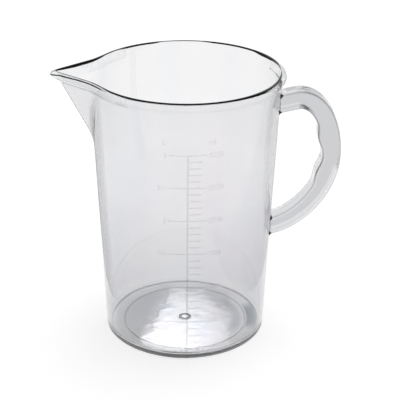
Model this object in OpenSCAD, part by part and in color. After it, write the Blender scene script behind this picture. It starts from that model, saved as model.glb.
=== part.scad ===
// Clear plastic measuring jug with a V spout, a cemented bar handle and a raised litre scale.
// The origin is the middle of the room that the jug takes, on the resting plane, so the jug's own
// axis stands at axis_x. The spout points to -X, the handle to +X, and the scale faces -Y.

/* [Body] */
// Height of the jug from the resting plane to the crest of the rim
jug_h = 234.3; // [180:1:280]
// Outer diameter of the wall at the base
base_d = 138.4; // [120:1:150]
// Outer diameter of the wall at the rim, without the bead
rim_d = 159; // [154:1:180]
// Thickness of the wall
wall_t = 2.2; // [1.6:0.1:3]
// Thickness of the floor
floor_t = 1.8; // [1.4:0.1:3]
// Fillet between the floor and the wall, inside
floor_fillet_r = 5; // [3:0.5:8]
// Rounding of the outer bottom edge
base_round_r = 2; // [1:0.25:3]
// Depth of the recess inside the foot ring
foot_recess = 0.6; // [0.4:0.1:1.5]
// Diameter of the recess inside the foot ring
recess_d = 107.8; // [90:0.5:116]
// Diameter of the moulding gate's dimple under the floor
gate_d = 11.2; // [6:0.2:16]
// Depth of the gate's dimple
gate_depth = 0.5; // [0.2:0.1:0.8]

/* [Rim] */
// How far the bead stands out of the wall
bead_out = 3.3; // [2:0.1:4.5]
// Depth below the crest at which the bead stands out furthest
bead_h = 3.5; // [2:0.25:5]
// Height over which the bead's underside runs back into the wall
bead_fade = 5.9; // [4:0.1:8]
// Rounding of the rim's inner edge
bead_edge_r = 1; // [0.5:0.1:1.5]

/* [Spout] */
// Reach of the spout's tip from the jug's axis, without the bead
spout_reach = 107.8; // [96:0.5:116]
// Angle between the two sides of the spout, seen from above
spout_angle = 82.8; // [70:0.5:90]
// Radius of the tip, seen from above
spout_tip_r = 4.6; // [4:0.1:8]
// Lean of the spout's ridge away from the vertical
spout_lean = 27.8; // [24:0.2:34]
// Width of the soft blend between the spout and the round wall
spout_blend = 5.3; // [3:0.1:8]

/* [Handle] */
// Reach of the handle's back from the jug's axis
grip_reach = 130.8; // [120:0.5:142]
// Height at which the handle's back reaches furthest out
grip_reach_z = 160.8; // [150:0.5:172]
// Thickness of the bar between its back and its finger side
grip_t = 15.7; // [12:0.1:18]
// Width of the bar across the jug
grip_w = 17.5; // [13:0.25:22]
// Rounding of the bar's long edges
grip_edge_r = 2.6; // [1:0.1:4]
// Height of the bar's top face where it meets the wall
upper_root_z = 214.8; // [205:0.5:220]
// Height of the bar's underside where it meets the wall
lower_root_z = 87; // [76:0.5:98]
// Length of the straight stretch at the upper root
top_run = 11.6; // [6:0.2:16]
// Rise of the straight stretch above the horizontal
top_rise = 12.6; // [8:0.2:16]
// Slope of the lower root below the horizontal
lower_slope = 11.8; // [8:0.2:18]
// Height of the swell between the first and second fingers
upper_swell = 2.9; // [1:0.1:4]
// Height of the swell between the second and third fingers
lower_swell = 2.4; // [1:0.1:4]
// Thickness of the cement seam under each root
seam_t = 0.5; // [0.3:0.05:1]
// How far the seam's bead stands out round a root
seam_bead = 0.9; // [0.4:0.1:1.6]

/* [Scale] */
// Millilitres between two long lines
major_step_ml = 500; // [250:250:500]
// Millilitres between two short lines
minor_step_ml = 100; // [50:50:100]
// Millilitres at the top long line
full_ml = 3000; // [2000:500:3000]
// Height left free between the top long line and the rim's crest, set so that the line is true
scale_headroom = 43.8; // [30:0.1:60]
// Length of a long line on each side of the spine
major_half_l = 15.8; // [10:0.2:20]
// Length of a short line from the spine
minor_l = 10; // [6:0.2:14]
// Height of a line's face
line_h = 0.9; // [0.6:0.1:1.4]
// Width of the spine
spine_w = 1.8; // [1:0.1:2.4]
// How far the scale stands out of the wall
relief = 0.35; // [0.2:0.05:0.6]

/* [Hidden] */
$fn = 180;

// Clearance between pieces that sit face to face
seat_gap = 0.02;
// Overrun of every cut past what it cuts
overrun = 1;

// The jug's axis stands midway between the spout's tip and the handle's back. Every shape below is
// worked out round the axis, and each node is then carried to its place.
axis_x = (spout_reach + bead_out - grip_reach) / 2;
module on_axis() {
    translate([axis_x, 0, 0])
        children();
}

// The wall's cone
taper_share = (rim_d - base_d) / 2 / jug_h;
function wall_r(z) = base_d / 2 + taper_share * z;
floor_z = foot_recess + floor_t;

// The spout's ridge leans out from the wall, and its blend ends at spout_foot_z
ridge_share = tan(spout_lean);
function ridge_x(z) = spout_reach - ridge_share * (jug_h - z);
spout_foot_z = (base_d / 2 - spout_blend - spout_reach + ridge_share * jug_h)
    / (ridge_share - taper_share);
// Height left under the spout's foot, where the wall is still round
collar_room = 2;
collar_z = spout_foot_z - collar_room;
spout_half = spout_angle / 2;

// Stations round the jug, as angles from -X: close together at the spout's tip, even elsewhere
spout_span = 45;
spout_stations = 20;
station_power = 1.8;
round_stations = 60;
stations = concat(
    [for (i = [-spout_stations:spout_stations])
        spout_span * sign(i) * pow(abs(i) / spout_stations, station_power)],
    [for (i = [1:round_stations - 1])
        spout_span + (360 - 2 * spout_span) * i / round_stations]
);

// Two lengths blended into one: the greater, with a rounded step within the blend's width
function soft_max(a, b, width) =
    max(a, b) + pow(max(width - abs(a - b), 0), 2) / (4 * width);

// Distance from the axis to the spout's rounded V, at an angle from -X and a height, pushed out
// by an offset
function vee_r(angle, z, offset) =
    let (
        tip_r = spout_tip_r + offset,
        tip_x = ridge_x(z) - spout_tip_r,
        side = tip_x * sin(spout_half) + tip_r,
        tangent = atan2(tip_r * cos(spout_half), tip_x + tip_r * sin(spout_half))
    )
    abs(angle) < tangent
        ? tip_x * cos(angle) + sqrt(pow(tip_r, 2) - pow(tip_x * sin(angle), 2))
        : side / cos(abs(angle) - (90 - spout_half));

function outline_r(angle, z, offset) =
    abs(angle) > spout_span || z < collar_z
        ? wall_r(z) + offset
        : soft_max(wall_r(z) + offset, vee_r(angle, z, offset), spout_blend);

// The vessel's section from under the middle of the floor, out and up the wall, over the bead
// and down inside to the floor. A point is an offset from the wall's outer face, a height, and
// the height whose outline it follows: the bead's shoulder follows the rim's, so that it stands
// upright, and its underside leads over from the wall's.
function at_r(r, z) = [r - wall_r(z), z, z];
base_edge_r = wall_r(base_round_r) - base_round_r;
inner_edge_r = wall_r(floor_z + floor_fillet_r) - wall_t - floor_fillet_r;
// The foot ring's two sides run on below the resting plane, where the ring is cut flat
arc_step = 30;
base_section = [
    at_r(gate_d / 2 - gate_depth, foot_recess + gate_depth),
    at_r(gate_d / 2, foot_recess),
    at_r(recess_d / 2 - foot_recess, foot_recess),
    at_r(recess_d / 2 + overrun, -overrun),
    at_r(base_edge_r - overrun / tan(arc_step / 2), -overrun),
    for (a = [arc_step - 90:arc_step:0])
        at_r(base_edge_r + base_round_r * cos(a), base_round_r * (1 + sin(a)))
];
floor_section = [
    for (a = [0:-18:-90])
        at_r(inner_edge_r + floor_fillet_r * cos(a), floor_z + floor_fillet_r * (1 + sin(a)))
];

wall_levels = 9;
shoulder_z = jug_h - bead_h;
fade_z = shoulder_z - bead_fade;
function on_wall(offset, i) =
    let (z = collar_z + (fade_z - collar_z) * i / wall_levels) [offset, z, z];
function on_underside(t) =
    [bead_out * (1 - cos(180 * t)) / 2, fade_z + bead_fade * t, fade_z + (jug_h - fade_z) * t];
// The rim's crest, as an offset: the shoulder falls from it outwards and the small lip inwards
crest = bead_edge_r - wall_t;
function on_rim(r, h, a) = [crest + r * cos(a), jug_h - h + h * sin(a), jug_h];
collar_section = concat(
    [for (i = [0:wall_levels]) on_wall(0, i)],
    [for (t = [0.2:0.2:0.8]) on_underside(t)],
    [for (a = [0:22.5:90]) on_rim(bead_out - crest, bead_h, a)],
    [for (a = [120:30:180]) on_rim(bead_edge_r, bead_edge_r, a)],
    [for (i = [wall_levels:-1:0]) on_wall(-wall_t, i)]
);

// Rings of points with as many points each, into a closed solid with flat ends
module loft(rings) {
    n = len(rings[0]);
    last = len(rings) - 1;
    sides = [for (j = [0:last - 1], i = [0:n - 1])
        let (a = j * n + i, b = j * n + (i + 1) % n)
        each [[a, b, b + n], [a, b + n, a + n]]];
    start = [for (i = [n - 1:-1:0]) i];
    end = [for (i = [0:n - 1]) last * n + i];
    polyhedron(points = [for (ring = rings) each ring], faces = concat(sides, [start, end]));
}

module vessel() {
    color([0.88, 0.89, 0.91, 0.45])
        on_axis()
            difference() {
                loft([for (p = concat(base_section, collar_section, floor_section))
                    [for (a = stations)
                        let (r = outline_r(a, p[2], p[0])) [-r * cos(a), -r * sin(a), p[1]]]]);
                translate([0, 0, -2 * overrun])
                    cylinder(h = 2 * overrun, d = base_d);
            }
}

// The handle's back, seen from the front: a short straight rise, then two curves that meet at
// the furthest point. The shares place each curve's two pull points along its own span.
corner_shares = [0.53, 0.70];
sweep_shares = [0.45, 0.555];
curve_steps = 18;
root_depth = 6;
// Where the swells sit along the back, and half the width of one, as shares of its length
swell_shares = [0.385, 0.580];
swell_width_share = 0.09;

function bezier(p, t) = pow(1 - t, 3) * p[0] + 3 * pow(1 - t, 2) * t * p[1]
    + 3 * (1 - t) * pow(t, 2) * p[2] + pow(t, 3) * p[3];

upper_root = [wall_r(upper_root_z), upper_root_z];
lower_root = [wall_r(lower_root_z), lower_root_z];
furthest = [grip_reach, grip_reach_z];
rise = [cos(top_rise), sin(top_rise)];
fall = [cos(lower_slope), sin(lower_slope)];
corner = upper_root + top_run * rise;
corner_curve = [
    corner,
    corner + corner_shares[0] * (furthest[0] - corner[0]) * rise,
    furthest + [0, corner_shares[1] * (corner[1] - furthest[1])],
    furthest
];
sweep_curve = [
    furthest,
    furthest - [0, sweep_shares[0] * (furthest[1] - lower_root[1])],
    lower_root + sweep_shares[1] * (furthest[0] - lower_root[0]) * fall,
    lower_root
];
back = concat(
    [upper_root - root_depth * rise, upper_root],
    [for (i = [0:curve_steps]) bezier(corner_curve, i / curve_steps)],
    [for (i = [1:curve_steps]) bezier(sweep_curve, i / curve_steps)],
    [lower_root - root_depth * fall]
);
back_last = len(back) - 1;
back_runs = [for (i = 0, s = 0; i <= back_last;
    s = s + (i < back_last ? norm(back[i + 1] - back[i]) : 0), i = i + 1) s];

function swell(share, at, h) =
    abs(share - at) < swell_width_share
        ? h * (1 + cos(180 * (share - at) / swell_width_share)) / 2
        : 0;
function bar_t(share) = grip_t + swell(share, swell_shares[0], upper_swell)
    + swell(share, swell_shares[1], lower_swell);

// Direction from the finger side to the back, square to the bar
function back_normal(i) =
    let (run = back[min(i + 1, back_last)] - back[max(i - 1, 0)])
    [-run[1], run[0]] / norm(run);

// Outline of the bar's section: [across the jug, in from the back]
function bar_outline(w, t, r) = [
    for (c = [[w / 2 - r, r, 0], [r - w / 2, r, 90], [r - w / 2, t - r, 180], [w / 2 - r, t - r, 270]],
        a = [0:22.5:90])
        [c[0] + r * cos(c[2] + a), c[1] - r * sin(c[2] + a)]
];

module bar() {
    loft([for (i = [0:back_last])
        let (n = back_normal(i), t = bar_t(back_runs[i] / back_runs[back_last]))
        [for (q = bar_outline(grip_w, t, grip_edge_r))
            [back[i][0] - n[0] * q[1], q[0], back[i][1] - n[1] * q[1]]]]);
}

// The wall's cone grown by a thickness, from under the lower root to over the upper one
module wall_core(grow) {
    translate([0, 0, lower_root_z - grip_t])
        cylinder(
            h = upper_root_z - lower_root_z + 2 * grip_t,
            r1 = wall_r(lower_root_z - grip_t) + grow,
            r2 = wall_r(upper_root_z + grip_t) + grow
        );
}

module handle() {
    color([0.84, 0.85, 0.88, 0.5])
        on_axis()
            difference() {
                bar();
                wall_core(seam_t + seat_gap);
            }
}

// A seam: the cement between a root and the wall, with its bead standing out round the bar
module bond_seam(low_z, high_z) {
    w = grip_w + 2 * seam_bead;
    h = high_z - low_z + 2 * seam_bead;
    difference() {
        intersection() {
            wall_core(seam_t);
            translate([0, 0, high_z + seam_bead])
                rotate([90, 0, 90])
                    linear_extrude(upper_root[0] + grip_t)
                        polygon([for (q = bar_outline(w, h, grip_edge_r + seam_bead)) [q[0], -q[1]]]);
        }
        wall_core(seat_gap);
    }
}

module upper_bond_seam() {
    color([0.55, 0.56, 0.58])
        on_axis()
            bond_seam(upper_root_z - grip_t / cos(top_rise), upper_root_z);
}

module lower_bond_seam() {
    color([0.55, 0.56, 0.58])
        on_axis()
            bond_seam(lower_root_z, lower_root_z + grip_t / cos(lower_slope));
}

// Height of the surface at a share of the volume below the top line. The volume is that of the
// cone above the floor, less the floor's fillet.
floor_r = wall_r(floor_z) - wall_t;
scale_top_z = jug_h - scale_headroom;
fillet_volume = 2 * PI * floor_r * pow(floor_fillet_r, 2) * (1 - PI / 4);
full_volume = PI * (pow(wall_r(scale_top_z) - wall_t, 3) - pow(floor_r, 3)) / (3 * taper_share)
    - fillet_volume;
function fill_z(ml) =
    let (
        volume = full_volume * ml / full_ml + fillet_volume,
        r = pow(pow(floor_r, 3) + 3 * taper_share * volume / PI, 1 / 3)
    )
    floor_z + (r - floor_r) / taper_share;

// A raised patch of the wall's face between two heights and two distances along the face,
// measured to the right of the scale's spine
module relief_patch(low_z, high_z, left, right) {
    r = wall_r((low_z + high_z) / 2);
    turn = 180 / PI / r;
    rotate([0, 0, -90 + left * turn])
        rotate_extrude(angle = (right - left) * turn)
            polygon([
                [wall_r(low_z) + seat_gap, low_z],
                [wall_r(low_z) + relief, low_z],
                [wall_r(high_z) + relief, high_z],
                [wall_r(high_z) + seat_gap, high_z]
            ]);
}

module scale_spine() {
    color([0.7, 0.71, 0.74])
        on_axis()
            relief_patch(base_round_r + line_h, scale_top_z + line_h / 2, -spine_w / 2, spine_w / 2);
}

module litre_lines() {
    color([0.7, 0.71, 0.74])
        on_axis()
            for (v = [major_step_ml:major_step_ml:full_ml], side = [-1, 1])
                relief_patch(
                    fill_z(v) - line_h / 2,
                    fill_z(v) + line_h / 2,
                    side > 0 ? spine_w / 2 + seat_gap : -major_half_l,
                    side > 0 ? major_half_l : -spine_w / 2 - seat_gap
                );
}

module tenth_lines() {
    color([0.7, 0.71, 0.74])
        on_axis()
            for (v = [minor_step_ml:minor_step_ml:full_ml])
                if (v % major_step_ml > 0)
                    relief_patch(
                        fill_z(v) - line_h / 2,
                        fill_z(v) + line_h / 2,
                        spine_w / 2 + seat_gap,
                        spine_w / 2 + minor_l
                    );
}

vessel();
handle();
upper_bond_seam();
lower_bond_seam();
scale_spine();
litre_lines();
tenth_lines();
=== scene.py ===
"""Looks of a clear plastic measuring jug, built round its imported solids.

Every shape is worked out in metres round the jug's own upright axis, with the spout towards -X, the
handle towards +X and the scale facing -Y, and is then carried to where that axis stands in the frame.
"""

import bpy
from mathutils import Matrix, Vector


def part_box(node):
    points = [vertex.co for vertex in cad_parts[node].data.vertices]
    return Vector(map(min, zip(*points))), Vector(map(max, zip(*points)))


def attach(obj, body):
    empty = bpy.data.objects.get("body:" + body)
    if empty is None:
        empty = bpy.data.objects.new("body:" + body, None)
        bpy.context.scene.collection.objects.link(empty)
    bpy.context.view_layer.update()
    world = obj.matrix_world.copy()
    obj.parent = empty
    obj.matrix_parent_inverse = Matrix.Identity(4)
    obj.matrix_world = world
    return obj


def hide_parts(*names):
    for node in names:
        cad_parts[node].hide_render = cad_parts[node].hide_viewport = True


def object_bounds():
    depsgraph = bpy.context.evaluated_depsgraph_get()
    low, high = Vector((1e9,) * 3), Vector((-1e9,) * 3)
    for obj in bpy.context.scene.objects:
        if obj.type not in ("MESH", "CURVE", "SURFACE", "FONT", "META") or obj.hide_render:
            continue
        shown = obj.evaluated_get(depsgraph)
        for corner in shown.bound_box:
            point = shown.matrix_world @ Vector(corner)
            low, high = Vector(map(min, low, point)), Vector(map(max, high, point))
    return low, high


bl_info = {
    "name": "Clear Measuring Jug",
    "version": (1, 0, 0),
    "blender": (4, 5, 0),
    "location": "3D View > Sidebar > Jug",
    "description": "Builds the looks of a clear plastic measuring jug round its packed solids",
    "category": "Object",
}

import bpy
import numpy as np
from mathutils import Matrix, Vector

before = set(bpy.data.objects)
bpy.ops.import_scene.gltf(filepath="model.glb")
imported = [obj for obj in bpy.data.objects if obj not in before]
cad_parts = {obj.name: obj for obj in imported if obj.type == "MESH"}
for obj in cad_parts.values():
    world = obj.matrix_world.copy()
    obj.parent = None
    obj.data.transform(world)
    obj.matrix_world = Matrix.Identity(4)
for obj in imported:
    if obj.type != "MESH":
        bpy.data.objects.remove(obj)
CAD_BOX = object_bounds()

MM = 0.001
VESSEL_LOW, VESSEL_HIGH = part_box("vessel")
# The rim is round on the handle's side, so its radius and the jug's axis follow from the vessel's box
BEAD_R = VESSEL_HIGH.y
AXIS_X = VESSEL_HIGH.x - BEAD_R
HANDLE_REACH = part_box("handle")[1].x - AXIS_X
# How far past a point a painted-shade mark has to reach to be fully dark there
PAINTED_SHADE_EDGE = 0.1 * MM
# Collection of the pieces that the window behind the jug shines back from
WINDOW_LIT = "lit_by_window"


def length(name, description, default, low, high):
    """A length in metres, shown with its unit."""
    return bpy.props.FloatProperty(
        name=name, description=description, default=default, min=low, max=high, unit="LENGTH", precision=5
    )


def angle(name, description, degrees, low, high):
    """An angle, given in degrees and kept in radians."""
    return bpy.props.FloatProperty(
        name=name,
        description=description,
        default=np.radians(degrees),
        min=np.radians(low),
        max=np.radians(high),
        subtype="ANGLE",
    )


def colour(name, description, default):
    """A linear colour."""
    return bpy.props.FloatVectorProperty(
        name=name, description=description, default=default, min=0, max=1, size=3, subtype="COLOR"
    )


def amount(name, description, default, low=0.0, high=1.0):
    """A plain number, such as a share or a strength."""
    return bpy.props.FloatProperty(name=name, description=description, default=default, min=low, max=high)


class VesselSizes(bpy.types.PropertyGroup):
    """Driving sizes of the body moulding."""

    height: length("Height", "From the resting plane to the rim's crest", VESSEL_HIGH.z, 0.18, 0.28)
    base_d: length("Base diameter", "Outer diameter of the wall at the base", 138.4 * MM, 0.12, 0.15)
    bead_out: length("Bead reach", "How far the bead stands out of the wall", 3.3 * MM, 0.002, 0.0045)
    bead_h: length("Bead height", "From its furthest reach up to the crest", 3.5 * MM, 0.002, 0.005)
    bead_fade: length("Bead fade", "Height of the bead's underside", 5.9 * MM, 0.004, 0.008)
    bead_edge_r: length("Bead edge", "Rounding of the rim's inner edge", 1 * MM, 0.0005, 0.0015)
    wall_t: length("Wall", "Thickness of the wall", 2.2 * MM, 0.0016, 0.003)
    floor_t: length("Floor", "Thickness of the floor", 1.8 * MM, 0.0014, 0.003)
    fillet_r: length("Floor fillet", "Fillet between the floor and the wall", 5 * MM, 0.003, 0.008)
    base_round_r: length("Base edge", "Rounding of the outer bottom edge", 2 * MM, 0.001, 0.003)
    recess: length("Foot recess", "Depth of the recess inside the foot ring", 0.6 * MM, 0.0004, 0.0015)
    recess_d: length("Recess diameter", "Diameter of that recess", 107.8 * MM, 0.09, 0.116)
    gate_d: length("Gate diameter", "Diameter of the gate's dimple", 11.2 * MM, 0.006, 0.016)
    gate_depth: length("Gate depth", "Depth of the gate's dimple", 0.5 * MM, 0.0002, 0.0008)


class SpoutSizes(bpy.types.PropertyGroup):
    """Driving sizes of the spout."""

    angle: angle("Spout angle", "Angle between the spout's sides, seen from above", 82.8, 70, 90)
    lean: angle("Ridge lean", "Lean of the spout's ridge away from the vertical", 27.8, 24, 34)
    tip_r: length("Tip radius", "Radius of the tip, seen from above", 4.6 * MM, 0.004, 0.008)
    blend: length("Blend", "Width of the soft blend into the wall", 5.3 * MM, 0.003, 0.008)


class HandleSizes(bpy.types.PropertyGroup):
    """Driving sizes of the bar handle and of the cement at its roots."""

    reach: length("Reach", "From the jug's axis to the handle's back", HANDLE_REACH, 0.12, 0.142)
    reach_z: length("Reach height", "Height where the back reaches furthest", 160.8 * MM, 0.15, 0.172)
    bar_t: length("Thickness", "From the bar's back to its finger side", 15.7 * MM, 0.012, 0.018)
    bar_w: length("Width", "Width of the bar across the jug", 17.5 * MM, 0.013, 0.022)
    edge_r: length("Edge", "Rounding of the bar's long edges", 2 * MM, 0.001, 0.004)
    upper_z: length("Upper root", "Height of the top face at the wall", 214.8 * MM, 0.205, 0.22)
    lower_z: length("Lower root", "Height of the underside at the wall", 87 * MM, 0.076, 0.098)
    top_run: length("Straight run", "Straight stretch at the upper root", 11.6 * MM, 0.006, 0.016)
    top_rise: angle("Top rise", "Rise of that stretch above the horizontal", 12.6, 8, 16)
    lower_slope: angle("Lower slope", "Slope of the lower root", 11.8, 8, 18)
    upper_swell: length("Upper swell", "Swell between the first two fingers", 2.9 * MM, 0.001, 0.004)
    lower_swell: length("Lower swell", "Swell between the next two fingers", 2.4 * MM, 0.001, 0.004)
    root_gap: length("Cement gap", "From the wall's face to the end of a root", 0.52 * MM, 0.0003, 0.001)
    fillet: length("Cement fillet", "Size of the cement's fillet round a root", 0.9 * MM, 0.0004, 0.0016)


class ScaleSizes(bpy.types.PropertyGroup):
    """Driving sizes of the raised numbers beside the litre lines."""

    digit_h: length("Digit height", "Height of a number", 4.6 * MM, 0.003, 0.007)
    relief: length("Relief", "How far the numbers stand out of the wall", 0.33 * MM, 0.0002, 0.0006)
    seat_gap: length("Seat", "Gap between a number and the wall", 0.02 * MM, 0.00001, 0.00005)
    line_reach: length("Line reach", "Half the length of a long line", 15.8 * MM, 0.01, 0.02)
    left_gap: length("Left gap", "Gap between a long line and the litres", 1.4 * MM, 0.0005, 0.003)
    right_gap: length("Right gap", "Gap between a long line and the millilitres", 0.9 * MM, 0.0005, 0.003)
    heading_rise: length("Heading rise", "Height of the units above the top line", 11.2 * MM, 0.008, 0.02)


class JugColours(bpy.types.PropertyGroup):
    """Colours and finishes."""

    clear: colour("Clear plastic", "Colour that light takes on through one wall", (0.90, 0.903, 0.91))
    # Painted shade: the wall's tint is darker low down and a little darker high up than in the middle
    shaded_low_plastic: colour("Lower plastic", "The same low down", (0.80, 0.805, 0.82))
    shaded_top_plastic: colour("Upper plastic", "The same high up", (0.85, 0.852, 0.855))
    clear_warm: colour("Warm streaks", "Faint warm tint of the moulding's streaks", (1.0, 0.965, 0.97))
    clear_cool: colour("Cool streaks", "Faint cool tint of the other streaks", (0.965, 0.98, 1.0))
    clear_edge: colour("Grazing tint", "Colour where the plastic is seen at a slant", (0.62, 0.625, 0.64))
    base: colour("Base tint", "Cooler tone of the base's patches", (0.74, 0.77, 0.81))
    # Painted light: the foot ring is drawn in a lighter tone than the wall, in place of the shade under
    # it
    foot: colour("Foot", "Light tone of the foot ring, seen through the floor", (0.95, 0.96, 0.98))
    # Painted shade: a darker, cooler tone on the foot ring and the floor at the handle's side
    ring: colour("Foot shade", "Cooler tone of that ring at the handle's side", (0.26, 0.31, 0.37))
    # Painted shade: a dark line along the recess's edge
    recess_shade_line: colour("Ring edge", "Colour of the recess's edge", (0.1, 0.105, 0.11))
    # A near-black ring round the gate's dimple; the code gives it no roughness of its own
    gate: colour("Gate", "Colour of the rough ring at the gate", (0.03, 0.031, 0.033))
    unbent: colour("Unbent tint", "Colour of light that passes a face unbent", (0.9, 0.902, 0.907))
    # Painted shade: black where the marks reach, standing in for light that enters there and is lost down
    # the wall
    crest: colour("Crest", "Colour where light that enters is lost down the wall", (0.0, 0.0, 0.0))
    clear_roughness: amount("Polish", "Roughness of the moulded faces", 0.02)
    foot_roughness: amount("Foot", "Roughness that scuffing adds to the foot ring's flat", 0.4)
    bar: colour("Bar plastic", "Colour that light takes on in the bar", (0.55, 0.555, 0.57))
    # Painted shade: near-black, drawn where the cement's marks reach, for light that its curved face
    # bends away
    cement: colour("Cement", "Colour of the cured cement", (0.02, 0.02, 0.022))
    relief: colour("Raised scale", "Colour of the raised, finely matt faces", (0.5, 0.51, 0.53))
    relief_alpha: amount("Scale cover", "How much the raised faces cover", 0.05)


class StageSettings(bpy.types.PropertyGroup):
    """Camera, floor and light."""

    camera_at: bpy.props.FloatVectorProperty(
        name="Camera",
        description="Place of the camera from the jug's axis at the resting plane",
        default=(-0.02415, -0.98809, 0.57765),
        size=3,
        subtype="TRANSLATION",
    )
    heading: angle("Heading", "Camera's heading, from +Y towards +X", 2.131, -180, 180)
    pitch: angle("Pitch", "How far the camera looks down", 25.006, -90, 90)
    roll: angle("Roll", "Camera's roll", 0.514, -90, 90)
    lens: bpy.props.FloatProperty(
        name="Lens", description="Focal length", default=114.18, min=20, max=300, unit="CAMERA"
    )
    floor: colour("Floor", "Colour of the floor", (0.6, 0.6, 0.6))
    floor_glow: amount("Floor glow", "Brightness added to the floor where it is seen", 0.70)
    ceiling: amount("Ceiling", "Brightness of the room overhead, as gloss and glass see it", 0.04)
    room: amount("Room", "Brightness of the room as matt faces see it", 0.45)
    horizon_sine: amount("White up to", "Sine of the elevation up to which the room is white", 0.42)
    horizon_fade: amount("Fade", "Rise of that sine over which the room goes dark", 0.05)


def arc(x, z, r, start, end, steps):
    """Points of an arc about (x, z): x + r cos a and z + r sin a, for angles a in degrees."""
    a = np.radians(np.linspace(start, end, steps + 1))
    return np.stack([x + r * np.cos(a), z + r * np.sin(a)], -1)


def run(start, end, steps):
    """Points at even steps from one point to another, without the last one."""
    t = np.linspace(0, 1, steps, endpoint=False)[:, None]
    return (1 - t) * np.array(start) + t * np.array(end)


def path(points, steps):
    """Points along straight stretches from each point to the next, without the last one."""
    return np.concatenate([run(*ends) for ends in zip(points, points[1:], steps)])


class VesselForm:
    """The vessel's outline as a function of an angle from the spout and a height.

    Round the jug it is the wall's cone. Within 45 degrees of the spout it is the soft maximum of the
    cone and of a rounded V whose tip leans out with height.
    """

    SPOUT_SPAN = 45
    # Columns on each side of the spout and round the rest, and how closely they crowd at the tip
    SPOUT_STEPS, ROUND_STEPS = 56, 270
    TIP_CROWDING = 1.8
    # Rows of the wall under and over the spout's foot
    WALL_STEPS = (12, 40)
    # How far below the spout's foot the wall's rows start to follow its outline
    COLLAR_ROOM = 2 * MM

    def __init__(self, vessel, spout):
        self.v, self.s = vessel, spout
        self.rim_r = BEAD_R - vessel.bead_out
        self.taper = (self.rim_r - vessel.base_d / 2) / vessel.height
        self.ridge = np.tan(spout.lean)
        self.tip_reach = AXIS_X - VESSEL_LOW.x - vessel.bead_out
        self.floor_z = vessel.recess + vessel.floor_t
        foot_x = vessel.base_d / 2 - spout.blend
        foot_z = (foot_x - self.tip_reach + self.ridge * vessel.height) / (self.ridge - self.taper)
        self.collar_z = foot_z - self.COLLAR_ROOM

    def wall_r(self, z):
        """Radius of the wall's outer face: the base's radius plus the taper times the height."""
        return self.v.base_d / 2 + self.taper * z

    def vee_r(self, degrees, z, offset):
        """Distance from the axis to the rounded V, pushed out by an offset.

        Near the middle it is the far crossing of the ray with the tip's circle, and past the tangent
        points it is the distance to the V's straight side.
        """
        half = self.s.angle / 2
        tip_r = self.s.tip_r + offset
        tip_x = self.tip_reach - self.ridge * (self.v.height - z) - self.s.tip_r
        side = tip_x * np.sin(half) + tip_r
        a = np.radians(np.abs(degrees))
        tangent = np.arctan2(tip_r * np.cos(half), tip_x + tip_r * np.sin(half))
        chord = np.sqrt(np.maximum(tip_r**2 - (tip_x * np.sin(a)) ** 2, 0))
        return np.where(a < tangent, tip_x * np.cos(a) + chord, side / np.cos(a - np.pi / 2 + half))

    def outline_r(self, degrees, z, offset):
        """The greater of cone and V, plus a quarter of the squared overlap of a blend's width."""
        cone = self.wall_r(z) + offset
        vee = self.vee_r(degrees, z, offset)
        overlap = np.maximum(self.s.blend - np.abs(cone - vee), 0)
        soft = np.maximum(cone, vee) + overlap**2 / (4 * self.s.blend)
        return np.where((np.abs(degrees) > self.SPOUT_SPAN) | (z < self.collar_z), cone, soft)

    def angles(self):
        """Angles from -X in degrees: close together at the spout's tip, even elsewhere."""
        i = np.linspace(-1, 1, 2 * self.SPOUT_STEPS + 1)
        near = self.SPOUT_SPAN * np.sign(i) * np.abs(i) ** self.TIP_CROWDING
        far = np.linspace(self.SPOUT_SPAN, 360 - self.SPOUT_SPAN, self.ROUND_STEPS + 1)[1:-1]
        return np.concatenate([near, np.where(far > 180, far - 360, far)])

    def section(self):
        """Rows of (offset from the wall's outer face, height, height whose outline is followed).

        They run from under the middle of the floor, out and up the wall, over the bead and down inside.
        """
        v, top = self.v, self.v.height
        gate_r, recess_r = v.gate_d / 2, v.recess_d / 2
        edge_r = self.wall_r(v.base_round_r) - v.base_round_r
        inner_r = self.wall_r(self.floor_z + v.fillet_r) - v.wall_t - v.fillet_r
        dimple_z = v.recess + v.gate_depth
        under = (
            (0, dimple_z), (gate_r - v.gate_depth, dimple_z), (gate_r, v.recess),
            (recess_r - v.recess, v.recess), (recess_r, 0), (edge_r, 0),
        )
        by_radius = np.concatenate([
            path(under, (6, 3, 10, 3, 4)),
            arc(edge_r, v.base_round_r, v.base_round_r, -90, 0, 12),
        ])
        floor = np.concatenate([
            arc(inner_r, self.floor_z + v.fillet_r, v.fillet_r, 0, -90, 14)[:-1],
            run((inner_r, self.floor_z), (0, self.floor_z), 14),
            [(0, self.floor_z)],
        ])
        shoulder_z, edge_z = top - v.bead_h, top - v.bead_edge_r
        fade_z = shoulder_z - v.bead_fade
        crest = v.bead_edge_r - v.wall_t
        t = np.linspace(0, 1, 17)[1:-1]
        underside = np.column_stack([v.bead_out * (1 - np.cos(np.pi * t)) / 2, fade_z + t * v.bead_fade])
        rim = np.concatenate([
            arc(0, 0, 1, 0, 90, 24) * [v.bead_out - crest, v.bead_h] + [crest, shoulder_z],
            arc(crest, edge_z, v.bead_edge_r, 90, 180, 10)[1:],
        ])
        down = np.linspace(0, 1, 10)[1:-1]
        neck = np.column_stack([np.full(len(down), -v.wall_t), edge_z + down * (fade_z - edge_z)])
        up_wall = ((0, v.base_round_r), (0, self.collar_z), (0, fade_z))
        outside = np.concatenate([path(up_wall, self.WALL_STEPS)[1:], [(0, fade_z)]])
        down_wall = (fade_z, self.collar_z, self.floor_z + v.fillet_r)
        inside = path([(-v.wall_t, z) for z in down_wall], self.WALL_STEPS[::-1])

        def follow(rows, heights):
            return np.column_stack([rows, np.broadcast_to(heights, len(rows))])

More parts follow.
